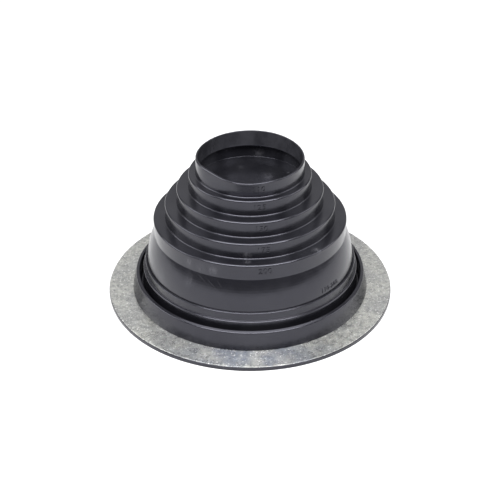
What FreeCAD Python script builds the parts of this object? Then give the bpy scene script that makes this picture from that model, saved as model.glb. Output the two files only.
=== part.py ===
import FreeCAD, Part
import os

# Pipe flashing boot: a stepped rubber cone with a soft metal flange.
# Millimetres. The axis is Z and the underside of the rubber base is at z = 0.
# A pair such as (108.1, 39.6) is a radius and a height.

# Steps, smallest pipe first. The moulding is cut off above the step that suits the pipe.
STEP_DIAMETERS = (110.0, 125.0, 150.0, 175.0, 200.0)  # outside of each step
STEP_PITCH = 16.5       # from one shelf to the next
FIRST_SHELF = 137.0     # height of the shelf under the smallest step
TOP_HEIGHT = 154.0      # rim of the smallest step
RING_FOOT = 71.4        # where the largest step turns into the skirt
WALL = 2.0              # thickness of the moulded wall
EDGE_BEVEL = 0.7        # broken outer edges of the steps
RIM_BEVEL = 0.5         # both edges of the rim
TURN_BEVEL = 1.5        # inside of each turn from a wall to a shelf, which keeps the wall even
CLOSED_SHELF = 1        # this shelf runs right across as a membrane, cut out when the boot is fitted

# Skirt: a convex flare below the largest step, with a ledge round its foot.
SKIRT_MIDDLE = (105.4, 57.0)
SKIRT_FOOT = (108.1, 39.9)
CREASE_FLOOR = (108.3, 38.2)    # small notch between the skirt and the ledge
LEDGE_INNER = (109.2, 39.0)
LEDGE_EDGE = (110.5, 38.8)
LEDGE_FOOT = (111.0, 30.6)
LIP_HEIGHT = 30.4               # lip at the mouth of the groove

# Groove: the fold that lets the cone tilt on its base.
GROOVE_INNER = 113.0
GROOVE_OUTER = 117.0
GROOVE_FLOOR = 7.5

# Collar round the groove, and the flange below it.
COLLAR_INNER_TOP = 24.6
COLLAR_EDGE = (120.9, 23.0)
COLLAR_BEVEL = 0.8
COLLAR_FOOT_RADIUS = 125.2
RUBBER_RADIUS = 150.5
RUBBER_THICKNESS = 4.0
OPENING_RADIUS = 116.0          # opening in the base, below the groove

# Metal ring: it lies on the rubber, and the collar's foot holds its inner edge.
METAL_RADIUS = 150.0
METAL_THICKNESS = 0.9
METAL_GRIP = 4.0                # how far the ring runs in under the collar

METAL_TOP = RUBBER_THICKNESS + METAL_THICKNESS
METAL_INNER = COLLAR_FOOT_RADIUS - METAL_GRIP
STEP_RADII = [diameter / 2 for diameter in STEP_DIAMETERS]
SHELF_HEIGHTS = [FIRST_SHELF - i * STEP_PITCH for i in range(len(STEP_RADII) - 1)]
MEMBRANE_TOP = SHELF_HEIGHTS[CLOSED_SHELF]
SKIRT_TOP = (STEP_RADII[-1], RING_FOOT)
MATCH = 0.001                   # how closely an edge is matched to its place


def vectors(points):
    """Section points as vectors in the XZ plane."""
    return [FreeCAD.Vector(r, 0, z) for r, z in points]


def stairs(inset):
    """The step profile from the rim down to the skirt, moved inwards by inset."""
    points = [(STEP_RADII[0] - inset, TOP_HEIGHT)]
    for upper, lower, shelf in zip(STEP_RADII, STEP_RADII[1:], SHELF_HEIGHTS):
        points += [(upper - inset, shelf - inset), (lower - inset, shelf - inset)]
    return points + [(SKIRT_TOP[0] - inset, SKIRT_TOP[1])]


def chamber():
    """The inside of the open steps above the membrane, from the rim to the axis."""
    above = stairs(WALL)[:2 * CLOSED_SHELF + 1]
    return above + [(above[-1][0], MEMBRANE_TOP), (0, MEMBRANE_TOP)]


def underneath():
    """The inside of the steps below the membrane, from the axis to the skirt."""
    return [(0, MEMBRANE_TOP - WALL)] + stairs(WALL)[2 * CLOSED_SHELF + 2:]


def skirt(inset):
    """The convex curve of the skirt, moved inwards by inset."""
    curve = [(r - inset, z) for r, z in (SKIRT_TOP, SKIRT_MIDDLE, SKIRT_FOOT)]
    return Part.Arc(*vectors(curve)).toShape()


def outer_base():
    """The section from the skirt's foot, over the groove and collar, to the base opening."""
    return [
        SKIRT_FOOT,
        CREASE_FLOOR,
        LEDGE_INNER,
        LEDGE_EDGE,
        LEDGE_FOOT,
        (GROOVE_INNER, LIP_HEIGHT),
        (GROOVE_INNER, GROOVE_FLOOR),
        (GROOVE_OUTER, GROOVE_FLOOR),
        (GROOVE_OUTER, COLLAR_INNER_TOP),
        COLLAR_EDGE,
        (COLLAR_FOOT_RADIUS, METAL_TOP),
        (METAL_INNER, METAL_TOP),
        (METAL_INNER, RUBBER_THICKNESS),
        (RUBBER_RADIUS, RUBBER_THICKNESS),
        (RUBBER_RADIUS, 0),
        (OPENING_RADIUS, 0),
    ]


def inner_base():
    """The section from the base opening, below the groove, up to the inside of the skirt."""
    return [
        (OPENING_RADIUS, 0),
        (OPENING_RADIUS, GROOVE_FLOOR - WALL),
        (GROOVE_INNER - WALL, GROOVE_FLOOR - WALL),
        (GROOVE_INNER - WALL, LIP_HEIGHT - WALL),
        (LEDGE_FOOT[0] - WALL, LIP_HEIGHT - WALL),
        (CREASE_FLOOR[0] - WALL, CREASE_FLOOR[1] - WALL),
        (SKIRT_FOOT[0] - WALL, SKIRT_FOOT[1]),
    ]


def revolve(edges):
    """Turn a closed section round Z."""
    face = Part.Face(Part.Wire(Part.__sortEdges__(edges)))
    return face.revolve(FreeCAD.Vector(), FreeCAD.Vector(0, 0, 1), 360)


def bevel_edges(solid, size, places):
    """Break the circular edges that lie at the given places."""
    def wanted(edge):
        curve = edge.Curve
        return isinstance(curve, Part.Circle) and any(
            abs(curve.Radius - r) < MATCH and abs(curve.Center.z - z) < MATCH for r, z in places
        )
    return solid.makeChamfer(size, [edge for edge in solid.Edges if wanted(edge)])


def rubber_boot():
    """The moulded boot, from the rim to the flat base flange."""
    across = [stairs(0)[0], stairs(WALL)[0]]
    axis = [chamber()[-1], underneath()[0]]
    lines = [stairs(0), outer_base() + inner_base()[1:], underneath(), axis, chamber(), across]
    edges = [skirt(0), skirt(WALL)]
    for points in lines:
        edges += Part.makePolygon(vectors(points)).Edges
    boot = revolve(edges)
    boot = bevel_edges(boot, RIM_BEVEL, across)
    boot = bevel_edges(boot, EDGE_BEVEL, list(zip(STEP_RADII[1:], SHELF_HEIGHTS)))
    turns = [(r - WALL, shelf - WALL) for r, shelf in zip(STEP_RADII, SHELF_HEIGHTS)]
    boot = bevel_edges(boot, TURN_BEVEL, turns)
    return bevel_edges(boot, COLLAR_BEVEL, [(GROOVE_OUTER, COLLAR_INNER_TOP), COLLAR_EDGE])


def metal_flange():
    """The flat ring of soft sheet metal."""
    section = [
        (METAL_INNER, RUBBER_THICKNESS),
        (METAL_RADIUS, RUBBER_THICKNESS),
        (METAL_RADIUS, METAL_TOP),
        (METAL_INNER, METAL_TOP),
        (METAL_INNER, RUBBER_THICKNESS),
    ]
    return revolve(Part.makePolygon(vectors(section)).Edges)


os.makedirs("parts", exist_ok=True)
rubber_boot().exportStep("parts/rubber_boot.step")
metal_flange().exportStep("parts/metal_flange.step")
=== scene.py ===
import math

import bpy
import numpy as np
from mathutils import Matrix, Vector


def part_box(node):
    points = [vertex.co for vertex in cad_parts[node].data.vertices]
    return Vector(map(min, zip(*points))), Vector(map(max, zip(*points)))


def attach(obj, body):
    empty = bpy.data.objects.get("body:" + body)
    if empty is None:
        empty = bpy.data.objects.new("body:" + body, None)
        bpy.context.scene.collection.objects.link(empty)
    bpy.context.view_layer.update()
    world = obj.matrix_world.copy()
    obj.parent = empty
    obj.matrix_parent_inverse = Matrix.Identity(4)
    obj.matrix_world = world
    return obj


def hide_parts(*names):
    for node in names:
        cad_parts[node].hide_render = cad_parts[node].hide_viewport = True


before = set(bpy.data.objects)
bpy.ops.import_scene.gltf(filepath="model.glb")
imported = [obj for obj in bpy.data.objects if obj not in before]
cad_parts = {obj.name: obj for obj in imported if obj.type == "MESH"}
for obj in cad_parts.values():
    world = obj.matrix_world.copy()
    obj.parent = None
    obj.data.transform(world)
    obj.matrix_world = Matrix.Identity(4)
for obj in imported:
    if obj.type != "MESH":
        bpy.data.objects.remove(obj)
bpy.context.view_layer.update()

MM = 0.001
AROUND = 240                            # facets round the axis

# The boot's outside, from the rim down. Radii and heights are in millimetres, as in the solids.
PIPES = (110, 125, 150, 175, 200)       # the pipe that each step is cut for
STEP_RADII = [pipe / 2 for pipe in PIPES]
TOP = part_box("rubber_boot")[1].z / MM
TOP_SHELF, STEP_RISE = 137.0, 16.5
SHELVES = [TOP_SHELF - STEP_RISE * i for i in range(len(PIPES) - 1)]
RING_FOOT = 71.4
STEP_FEET = SHELVES + [RING_FOOT]
SKIRT = ((STEP_RADII[-1], RING_FOOT), (105.4, 57.0), (108.1, 39.9))     # three points of its arc
SKIRT_PARTS = 12

# Corners of the section below the skirt, as (radius, height, rounding).
LEDGE = [(108.3, 38.2, 0.2), (109.2, 39.0, 0.3), (110.5, 38.8, 1.0), (111.0, 30.6, 0.4)]
GROOVE = [(113.0, 30.4, 1.3), (113.0, 7.5, 1.5), (117.0, 7.5, 1.5)]
COLLAR = [(117.0, 24.6, 1.2), (120.9, 23.0, 1.4)]
UNDERSIDE = [(106.3, 36.2, 0), (109.0, 28.4, 0.5), (111.0, 28.4, 0.5), (111.0, 5.5, 1.0), (116.0, 5.5, 1.0)]

# The foot of the boot, and the metal ring that it holds by the inner edge.
COLLAR_FOOT = 125.2                     # where the collar's outside comes down on the metal
RUBBER_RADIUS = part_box("rubber_boot")[1].x / MM
METAL_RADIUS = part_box("metal_flange")[1].x / MM
METAL_UNDER, METAL_TOP = (corner.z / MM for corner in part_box("metal_flange"))
GRIP_RADIUS = 121.2                     # the inner edge of the metal
CLEAR_SIDE, CLEAR_UNDER = 0.05, 0.02    # keep the faces of the metal off those of the rubber
METAL_EDGE_UNDER, METAL_EDGE_TOP = 0.2, 0.15    # roundings of the metal's outer edge

# The wall, and the roundings of its edges.
WALL = 2.0
CLOSED_SHELF = 1                        # this shelf runs right across as a membrane
EDGE, CORNER = 1.7, 1.2                 # at the outside of a shelf, and where a wall meets a shelf
RIM_OUT, RIM_IN = 1.45, 0.5
STEP_IN, MEMBRANE_IN = 0.4, 0.25        # inside a step, and where the wall meets the membrane
FOOT_OUT, FOOT_IN = 0.4, 0.3            # at the outside of the foot, and at its other edges

# How the soft top is out of true. Angles run anticlockwise from +X, and the front is -90 degrees.
LIP_DENTS = ((-95, 15, 3.6), (-140, 14, -3.4), (-60, 25, 1.3), (75, 25, 0.9))   # middle, half-width, depth
LIP_BEND = 1.4                          # how quickly a dent fades below the rim
LEAN_HEIGHTS = (88.0, 125.0)            # where the lean begins, and where it is in full
BACK_LEAN, BACK_RISE, BACK_BEND = 1.0, 1.5, 1.5

# Raised figures. Only plain sizes are given: one for each step, and the whole range on the skirt.
CAPITAL = 0.7                           # a capital's share of the letter size
FIGURE_SPACING = 1.12
FIGURE_THINNING = 0.02                  # taken off each side of a stroke, as a share of the height
FIGURE_SINK = 0.4                       # how far a figure is rooted in the wall
FIGURE_BEVEL = 0.15
STEP_MARK = {"angle": -81.5, "height": 5.8, "rise": 0.7}
STEP_MARK_UP = 9.0                      # from the foot of a step to the middle of its figures
RANGE_MARK = {"angle": -42.0, "height": 4.9, "rise": 0.4}
RANGE_MARK_MIDDLE = 44.8

# The studio, in metres, watts and degrees.
AIM = (0, 0, 0.05)
SOFTBOXES = (                           # name, place, aim, width, height, power
    ("key", (0, -1.05, 1.65), AIM, 3.0, 0.9, 132),
    ("overhead", (0, 0.15, 2.0), AIM, 2.0, 1.2, 28),
    ("left", (-1.7, 0.1, 1.0), AIM, 1.4, 1.2, 24),
    ("right", (1.7, 0.1, 1.0), AIM, 1.4, 1.2, 17),
    ("backdrop", (0, 2.6, 1.7), (0, 0, 0.1), 5.0, 2.0, 16),
)
FLOOR_SIZE = 12
CAMERA_PLACE, CAMERA_DIP = (0, -0.9385, 0.639), 32.45
FOCAL_LENGTH, SENSOR_WIDTH = 75.6, 36


def smooth(value, low, high):
    """Rise smoothly from 0 at low to 1 at high."""
    t = np.clip((value - low) / (high - low), 0, 1)
    return t * t * (3 - 2 * t)


def arc_through(a, b, c, count):
    """Points of the circle through a, b and c, from a to just before c."""
    (ax, ay), (bx, by), (cx, cy) = a, b, c
    d = 2 * (ax * (by - cy) + bx * (cy - ay) + cx * (ay - by))
    aa, bb, cc = ax * ax + ay * ay, bx * bx + by * by, cx * cx + cy * cy
    ux = (aa * (by - cy) + bb * (cy - ay) + cc * (ay - by)) / d
    uy = (aa * (cx - bx) + bb * (ax - cx) + cc * (bx - ax)) / d
    start, end = math.atan2(ay - uy, ax - ux), math.atan2(cy - uy, cx - ux)
    radius = math.hypot(ax - ux, ay - uy)
    turn = (end - start + math.pi) % (2 * math.pi) - math.pi
    angles = [start + turn * i / count for i in range(count)]
    return [(ux + radius * math.cos(t), uy + radius * math.sin(t)) for t in angles]


def soften(corners, pieces=4, longest=8.0, hold=0.3):
    """Round each corner (r, z, radius) of a closed section, and part its long sides into shorter ones.

    A point at hold from each end of a long side keeps the shading of the side flat.
    """
    loop = []
    count = len(corners)
    for i, (r, z, radius) in enumerate(corners):
        here = np.array((r, z))
        if radius == 0:
            loop.append(here)
            continue
        before = np.array(corners[i - 1][:2]) - here
        after = np.array(corners[(i + 1) % count][:2]) - here
        before, after = before / np.linalg.norm(before), after / np.linalg.norm(after)
        half = math.acos(np.clip(before @ after, -1, 1)) / 2
        reach = radius / math.tan(half)
        bisector = (before + after) / np.linalg.norm(before + after)
        centre = here + bisector * radius / math.sin(half)
        start, end = here + before * reach, here + after * reach
        for k in range(pieces + 1):
            spoke = start + (end - start) * k / pieces - centre
            loop.append(centre + spoke / np.linalg.norm(spoke) * radius)
    fine = []
    for a, b in zip(loop, loop[1:] + loop[:1]):
        length = np.linalg.norm(b - a)
        fine.append(a)
        if length > 3 * hold and max(a[0], b[0]) > 0:
            parts = math.ceil(length / longest)
            stops = [hold / length] + [k / parts for k in range(1, parts)] + [1 - hold / length]
            fine += [a + (b - a) * t for t in stops]
    return np.array(fine)


def skirt_curve(inset):
    """The convex skirt, moved inwards by inset."""
    a, b, c = [(r - inset, z) for r, z in SKIRT]
    return [(r, z, 0) for r, z in arc_through(a, b, c, SKIRT_PARTS)] + [(*c, 0)]


def wall_radius(z):
    """The radius of the boot's outside at a height, on a step or on the skirt."""
    radii, heights, _ = zip(*skirt_curve(0)[::-1])
    return np.select([z > foot for foot in STEP_FEET], STEP_RADII, np.interp(z, heights, radii))


def boot_section():
    """The section of the moulding: down the outside, round the metal's edge, and up the inside."""
    outer = [(STEP_RADII[0], TOP, RIM_OUT)]
    inner = [(STEP_RADII[0] - WALL, TOP, RIM_IN)]
    for i, (upper, lower, shelf) in enumerate(zip(STEP_RADII, STEP_RADII[1:], SHELVES)):
        outer += [(upper, shelf, CORNER), (lower, shelf, EDGE)]
        if i == CLOSED_SHELF:
            inner += [(upper - WALL, shelf, MEMBRANE_IN), (0, shelf, 0), (0, shelf - WALL, 0)]
        else:
            inner += [(upper - WALL, shelf - WALL, CORNER + WALL)]
        inner += [(lower - WALL, shelf - WALL, STEP_IN)]
    outer += skirt_curve(0) + LEDGE + GROOVE + COLLAR
    inner += skirt_curve(WALL) + UNDERSIDE
    base = [
        (COLLAR_FOOT, METAL_TOP, FOOT_IN), (GRIP_RADIUS, METAL_TOP, 0), (GRIP_RADIUS, METAL_UNDER, 0),
        (RUBBER_RADIUS, METAL_UNDER, FOOT_OUT), (RUBBER_RADIUS, 0, FOOT_OUT), (UNDERSIDE[-1][0], 0, FOOT_IN),
    ]
    return soften(outer + base + inner[::-1])


def ring_section():
    """The section of the flat metal ring."""
    inside, under = GRIP_RADIUS + CLEAR_SIDE, METAL_UNDER + CLEAR_UNDER
    corners = [
        (inside, under, 0), (METAL_RADIUS, under, METAL_EDGE_UNDER),
        (METAL_RADIUS, METAL_TOP, METAL_EDGE_TOP), (inside, METAL_TOP, 0),
    ]
    return soften(corners, pieces=3, longest=2.0, hold=0.15)


def slump(points):
    """Lean the soft top back a little, and push its lip in and out of round."""
    x, y, z = points.T
    angle = np.degrees(np.arctan2(y, x))
    radius = np.hypot(x, y)
    back = np.clip(y / np.maximum(radius, STEP_RADII[0] - WALL), 0, 1) ** BACK_BEND
    back = back * smooth(z, *LEAN_HEIGHTS)
    lip = np.clip((z - SHELVES[0]) / (TOP - SHELVES[0]), 0, 1) ** LIP_BEND
    push = BACK_LEAN * back
    for middle, width, depth in LIP_DENTS:
        away = (angle - middle + 180) % 360 - 180
        push = push + depth * lip * np.exp(-0.5 * (away / width) ** 2)
    scale = 1 + push / np.maximum(radius, 1)
    return np.stack([x * scale, y * scale, z + BACK_RISE * back], axis=-1)


def spin(section):
    """Turn a closed section round Z. Returns the points and the faces."""
    points, rings = [], []
    angles = np.arange(AROUND) * 2 * math.pi / AROUND
    for r, z in section:
        if r < 1e-6:        # a point on the axis is shared by the whole turn
            rings.append([len(points)] * AROUND)
            points.append((0, 0, z))
        else:
            rings.append(range(len(points), len(points) + AROUND))
            points += [(r * c, r * s, z) for c, s in zip(np.cos(angles), np.sin(angles))]
    faces = []
    for ring, below in zip(rings, rings[1:] + rings[:1]):
        for i in range(AROUND):
            n = (i + 1) % AROUND
            face = list(dict.fromkeys((ring[i], below[i], below[n], ring[n])))
            if len(face) > 2:
                faces.append(face)
    return np.array(points), faces


def add_object(name, data):
    """A new object in the scene."""
    obj = bpy.data.objects.new(name, data)
    bpy.context.scene.collection.objects.link(obj)
    return obj


def mesh_object(name, points, faces, material):
    """A new smooth-shaded object from points in millimetres."""
    mesh = bpy.data.meshes.new(name)
    mesh.from_pydata((np.asarray(points) * MM).tolist(), [], faces)
    mesh.validate()
    mesh.shade_smooth()
    mesh.materials.append(material)
    return add_object(name, mesh)


def figures(name, text, material, middle, angle, height, rise):
    """Raised figures wrapped round the boot, centred at an angle and at the height called middle."""
    curve = bpy.data.curves.new(name, "FONT")
    curve.body = text
    curve.align_x, curve.align_y = "CENTER", "CENTER"
    curve.size = height / CAPITAL
    curve.offset = -FIGURE_THINNING * height
    curve.space_character = FIGURE_SPACING
    curve.extrude = (rise + FIGURE_SINK) / 2
    curve.bevel_depth = FIGURE_BEVEL
    curve.resolution_u = 4
    flat = add_object(name, curve)
    bpy.context.view_layer.update()
    mesh = bpy.data.meshes.new_from_object(flat.evaluated_get(bpy.context.evaluated_depsgraph_get()))
    bpy.data.objects.remove(flat)
    across, up, out = np.array([v.co for v in mesh.vertices]).T
    z = middle + up
    r = wall_radius(z) + out + (rise - FIGURE_SINK) / 2
    turn = math.radians(angle) + across / wall_radius(middle)
    points = slump(np.stack([r * np.cos(turn), r * np.sin(turn), z], axis=-1)) * MM
    mesh.vertices.foreach_set("co", points.astype(np.float32).ravel())
    mesh.materials.clear()
    mesh.materials.append(material)
    return add_object(name, mesh)


def bore_mask(points):
    """1 on the bore of the top ring, fading out at its foot, and 0 everywhere else."""
    inside = np.hypot(*points.T[:2]) < STEP_RADII[0] - WALL + BORE_DUST_AND_LIGHT_EDGE
    return smooth(points[:, 2], SHELVES[0] - WALL, SHELVES[0]) * inside


class Shader:
    """A small builder for one node material."""

    def __init__(self, name):
        self.material = bpy.data.materials.new(name)
        self.material.use_nodes = True
        self.tree = self.material.node_tree
        self.surface = self.tree.nodes["Principled BSDF"]
        self.place = self.add("ShaderNodeTexCoord").outputs["Object"]

    def add(self, kind, **settings):
        """A new node with the settings given."""
        node = self.tree.nodes.new(kind)
        for key, value in settings.items():
            setattr(node, key, value)
        return node

    def join(self, source, socket):
        """Feed a socket from another one, or set it to a constant."""
        if isinstance(source, bpy.types.NodeSocket):
            self.tree.links.new(source, socket)
        else:
            socket.default_value = source

    def noise(self, scale, detail=3.0, roughness=0.5, stretch=(1, 1, 1)):
        """Noise of so many cells a metre. A stretch above 1 packs it closer along that axis."""
        mapping = self.add("ShaderNodeMapping")
        self.join(self.place, mapping.inputs["Vector"])
        mapping.inputs["Scale"].default_value = stretch
        node = self.add("ShaderNodeTexNoise")
        self.join(mapping.outputs["Vector"], node.inputs["Vector"])
        for key, value in (("Scale", scale), ("Detail", detail), ("Roughness", roughness)):
            node.inputs[key].default_value = value
        return node.outputs["Fac"]

    def ramp(self, value, low, high, to_low=0.0, to_high=1.0):
        """Map a value smoothly from low..high to to_low..to_high."""
        node = self.add("ShaderNodeMapRange", interpolation_type="SMOOTHSTEP")
        keys = ("Value", "From Min", "From Max", "To Min", "To Max")
        for source, key in zip((value, low, high, to_low, to_high), keys):
            self.join(source, node.inputs[key])
        return node.outputs["Result"]

    def math(self, operation, a, b=0.0):
        """Arithmetic on one or two values."""
        node = self.add("ShaderNodeMath", operation=operation)
        self.join(a, node.inputs[0])
        self.join(b, node.inputs[1])
        return node.outputs[0]

    def near(self, spot, reach):
        """1 at a point given in millimetres, falling to 0 at reach."""
        node = self.add("ShaderNodeVectorMath", operation="DISTANCE")
        self.join(self.place, node.inputs[0])
        node.inputs[1].default_value = [c * MM for c in spot]
        return self.ramp(node.outputs["Value"], reach * MM, 0.0)

    def line(self, spot, across):
        """1 on a hairline through a point given in millimetres, square to a direction."""
        node = self.add("ShaderNodeVectorMath", operation="DOT_PRODUCT")
        direction = Vector(across).normalized()
        self.join(self.place, node.inputs[0])
        node.inputs[1].default_value = direction
        away = self.math("SUBTRACT", node.outputs["Value"], direction.dot(Vector(spot)) * MM)
        return self.ramp(self.math("ABSOLUTE", away), SCRATCH_FADE * MM, SCRATCH_CORE * MM)

    def mix(self, factor, a, b):
        """Mix two colours."""
        node = self.add("ShaderNodeMix", data_type="RGBA")
        self.join(factor, node.inputs[0])
        self.join(a, node.inputs[6])
        self.join(b, node.inputs[7])
        return node.outputs[2]

    def bump(self, height, distance, strength, under=None):
        """A bump of so many metres, on top of another one."""
        node = self.add("ShaderNodeBump")
        self.join(height, node.inputs["Height"])
        node.inputs["Distance"].default_value = distance
        node.inputs["Strength"].default_value = strength
        if under is not None:
            self.join(under, node.inputs["Normal"])
        return node.outputs["Normal"]


# Wear on the rubber. Scuffs are (spot, reach, strength), in millimetres.
SCUFFS = (
    ((-2.6, -87.5, 92), 6, 0.5), ((-2.7, -92.8, 87.5), 5, 0.5), ((65.8, -71.6, 87.5), 8, 0.45),
    ((-60, -80, 79), 9, 0.3), ((-48, -87.5, 77), 8, 0.35), ((-36, -93.5, 78), 8, 0.35),
    ((-88, -58, 50), 14, 0.3), ((-60, -84, 62), 12, 0.2), ((-87, 0, 87.5), 8, 0.2),
    ((8.8, 60, 127), 8, 0.45), ((-9, 37, 120.5), 7, 0.2), ((19, 19, 120.5), 9, 0.25),
    ((40, 26, 120.5), 3, 0.8), ((77.6, -84.9, 24), 1.5, 1), ((88, -73.6, 24), 1.2, 1),
    ((60.5, -102, 24), 1.2, 1), ((101.5, -36.9, 43.4), 4, 0.8), ((-78, 50, 87.5), 8, 0.2),
    ((30, 91, 110), 9, 0.2), ((92, 30, 60), 12, 0.2),
)
# Scratches are (spot, direction square to the scratch, reach).
SCRATCHES = (
    ((-58, -85, 73), (0.5, 0, 0.8), 12), ((-48, -91, 68), (0.6, 0, 0.8), 12),
    ((-37, -96, 64), (0.65, 0, 0.75), 11), ((-30, -99, 66), (0.75, 0, 0.6), 7),
    ((60, 84, 68), (0.5, 0, 0.85), 10), ((97, 28, 66), (0, 0.5, 0.85), 9),
)
SCRATCH_CORE, SCRATCH_FADE = 0.05, 0.3  # half-widths
SCRATCH_STRENGTH = 0.22

BORE_DUST_AND_LIGHT_EDGE = 0.3                         # how far on to the rim the bore's dust and painted light come, in millimetres
FRONT_BLUE_REACH = 135                     # how far the blue-grey darkening comes from the front of the metal's rim

# Colours.
BLACK, BLACK_BLOOM = (0.0042, 0.0042, 0.0055, 1), (0.007, 0.007, 0.0085, 1)
# The first grey lightens the bore: partly dust, partly painted light on its back wall. The second is for
# wear.
BORE_DUST_AND_LIGHT, WORN = (0.026, 0.026, 0.03, 1), (0.08, 0.08, 0.088, 1)
COOL_SHEEN = (0.86, 0.86, 1.0, 1.0)
SHEET, SHEET_BRIGHT = (0.48, 0.48, 0.465, 1), (0.58, 0.58, 0.54, 1)
# The near-white second colour is for painted glints on the sheet.
SHEET_DARK, GLINT_FLECK = (0.25, 0.26, 0.26, 1), (0.9, 0.9, 0.88, 1)
# A blue-grey that darkens the front of the metal.
FRONT_BLUE_GREY = (0.25, 0.275, 0.325, 1)
FLOOR_GREY = (0.5, 0.5, 0.5, 1)
WORLD_GREY = (0.15, 0.15, 0.16, 1)


def rubber():
    """Satin black moulded rubber, with a faint bloom, dust and painted light in the bore, scuffs and
    scratches.
    """
    s = Shader("rubber")
    cloud = s.ramp(s.noise(28, detail=4), 0.35, 0.7)
    colour = s.mix(cloud, BLACK, BLACK_BLOOM)
    bore = s.add("ShaderNodeAttribute", attribute_name="bore").outputs["Fac"]
    # Painted light: the bore of the top ring is mixed towards a lighter grey, partly dust and partly the
    # light its back wall catches.
    dust_and_light = s.ramp(s.noise(60, detail=5, roughness=0.65, stretch=(1, 1, 0.7)), 0.3, 0.75, to_low=0.35)
    colour = s.mix(s.math("MULTIPLY", bore, dust_and_light), colour, BORE_DUST_AND_LIGHT)
    wear = 0.0
    for spot, reach, strength in SCUFFS:
        wear = s.math("MAXIMUM", s.math("MULTIPLY", s.near(spot, reach), strength), wear)
    rubbed = s.ramp(s.noise(220, detail=4, roughness=0.7, stretch=(1, 1, 0.5)), 0.35, 0.7)
    wear = s.math("MULTIPLY", wear, rubbed)
    for spot, across, reach in SCRATCHES:
        line = s.math("MULTIPLY", s.near(spot, reach), s.line(spot, across))
        wear = s.math("MAXIMUM", s.math("MULTIPLY", line, SCRATCH_STRENGTH), wear)
    s.join(s.mix(wear, colour, WORN), s.surface.inputs["Base Color"])
    s.join(COOL_SHEEN, s.surface.inputs["Specular Tint"])
    sheen = s.ramp(s.noise(90, detail=5, roughness=0.6), 0.3, 0.75, to_low=0.18, to_high=0.25)
    s.join(sheen, s.surface.inputs["Roughness"])
    waves = s.bump(s.noise(30, detail=2), distance=0.0004, strength=0.4)
    grain = s.bump(s.noise(900, detail=2), distance=0.00001, strength=0.4, under=waves)
    s.join(grain, s.surface.inputs["Normal"])
    return s.material


def sheet_metal():
    """Dull soft aluminium sheet: mottled, with painted glints, finely dented, and darker and bluer towards
    the front.
    """
    s = Shader("sheet_metal")
    patches = s.ramp(s.noise(24), 0.42, 0.6)
    blotches = s.ramp(s.noise(42, detail=5), 0.38, 0.58)
    mottle = s.ramp(s.noise(280, detail=8, roughness=0.8), 0.3, 0.6)
    # Painted glints: near-white flecks of colour stand in for the sparkle of the sheet.
    glint_flecks = s.ramp(s.noise(420, roughness=0.7), 0.57, 0.66)
    # The metal is darker and bluer towards the front, broken up in blotches.
    front_blue = s.math("MULTIPLY", s.near((0, -METAL_RADIUS, 0), FRONT_BLUE_REACH), blotches)
    colour = s.mix(front_blue, s.mix(patches, SHEET, SHEET_BRIGHT), FRONT_BLUE_GREY)
    colour = s.mix(glint_flecks, s.mix(mottle, SHEET_DARK, colour), GLINT_FLECK)
    s.join(colour, s.surface.inputs["Base Color"])
    s.join(0.9, s.surface.inputs["Metallic"])
    sheen = s.ramp(s.noise(150, detail=5, roughness=0.6), 0.3, 0.7, to_low=0.22, to_high=0.4)
    s.join(sheen, s.surface.inputs["Roughness"])
    dents = s.bump(s.noise(75), distance=0.0018, strength=0.7)
    specks = s.bump(s.noise(550, detail=5, roughness=0.75), distance=0.0003, strength=0.8, under=dents)
    s.join(specks, s.surface.inputs["Normal"])
    return s.material


def paper():
    """The plain floor, a matt grey that the lights bring up to white."""
    s = Shader("paper")
    s.join(FLOOR_GREY, s.surface.inputs["Base Color"])
    s.join(0.9, s.surface.inputs["Roughness"])
    return s.material


def softbox(name, place, target, width, height, power):
    """A large soft area light aimed at a point."""
    data = bpy.data.lights.new(name, "AREA")
    data.shape = "RECTANGLE"
    data.size, data.size_y, data.energy = width, height, power
    light = add_object(name, data)
    light.location = place
    light.rotation_euler = (Vector(target) - Vector(place)).to_track_quat("-Z", "Y").to_euler()


# The boot.
black = rubber()
points, faces = spin(boot_section())
boot = mesh_object("boot", slump(points), faces, black)
boot.data.attributes.new("bore", "FLOAT", "POINT").data.foreach_set("value", bore_mask(points))
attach(boot, "root")
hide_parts("rubber_boot")

# Its figures: the pipe size on each step, and the range on the skirt.
marks = [(str(pipe), str(pipe), foot + STEP_MARK_UP, STEP_MARK) for pipe, foot in zip(PIPES, STEP_FEET)]
marks.append(("range", f"{PIPES[0]}-{PIPES[-1]}", RANGE_MARK_MIDDLE, RANGE_MARK))
for name, text, middle, look in marks:
    mark = figures("mark_" + name, text, black, middle, **look)
    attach(mark, "root")

# The metal ring.
points, faces = spin(ring_section())
ring = mesh_object("ring", points, faces, sheet_metal())
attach(ring, "root")
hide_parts("metal_flange")

# Floor.
bpy.ops.mesh.primitive_plane_add(size=FLOOR_SIZE)
floor = bpy.context.object
floor.name = "floor"
floor.data.materials.append(paper())

# Studio light.
for light in SOFTBOXES:
    softbox(*light)
world = bpy.data.worlds.new("studio")
world.use_nodes = True
world.node_tree.nodes["Background"].inputs["Color"].default_value = WORLD_GREY
bpy.context.scene.world = world
bpy.context.scene.view_settings.view_transform = "Standard"

# Camera.
lens = bpy.data.cameras.new("camera")
lens.lens = FOCAL_LENGTH
lens.sensor_width = SENSOR_WIDTH
camera = add_object("camera", lens)
camera.location = CAMERA_PLACE
camera.rotation_euler = (math.radians(90 - CAMERA_DIP), 0, 0)
bpy.context.scene.camera = camera
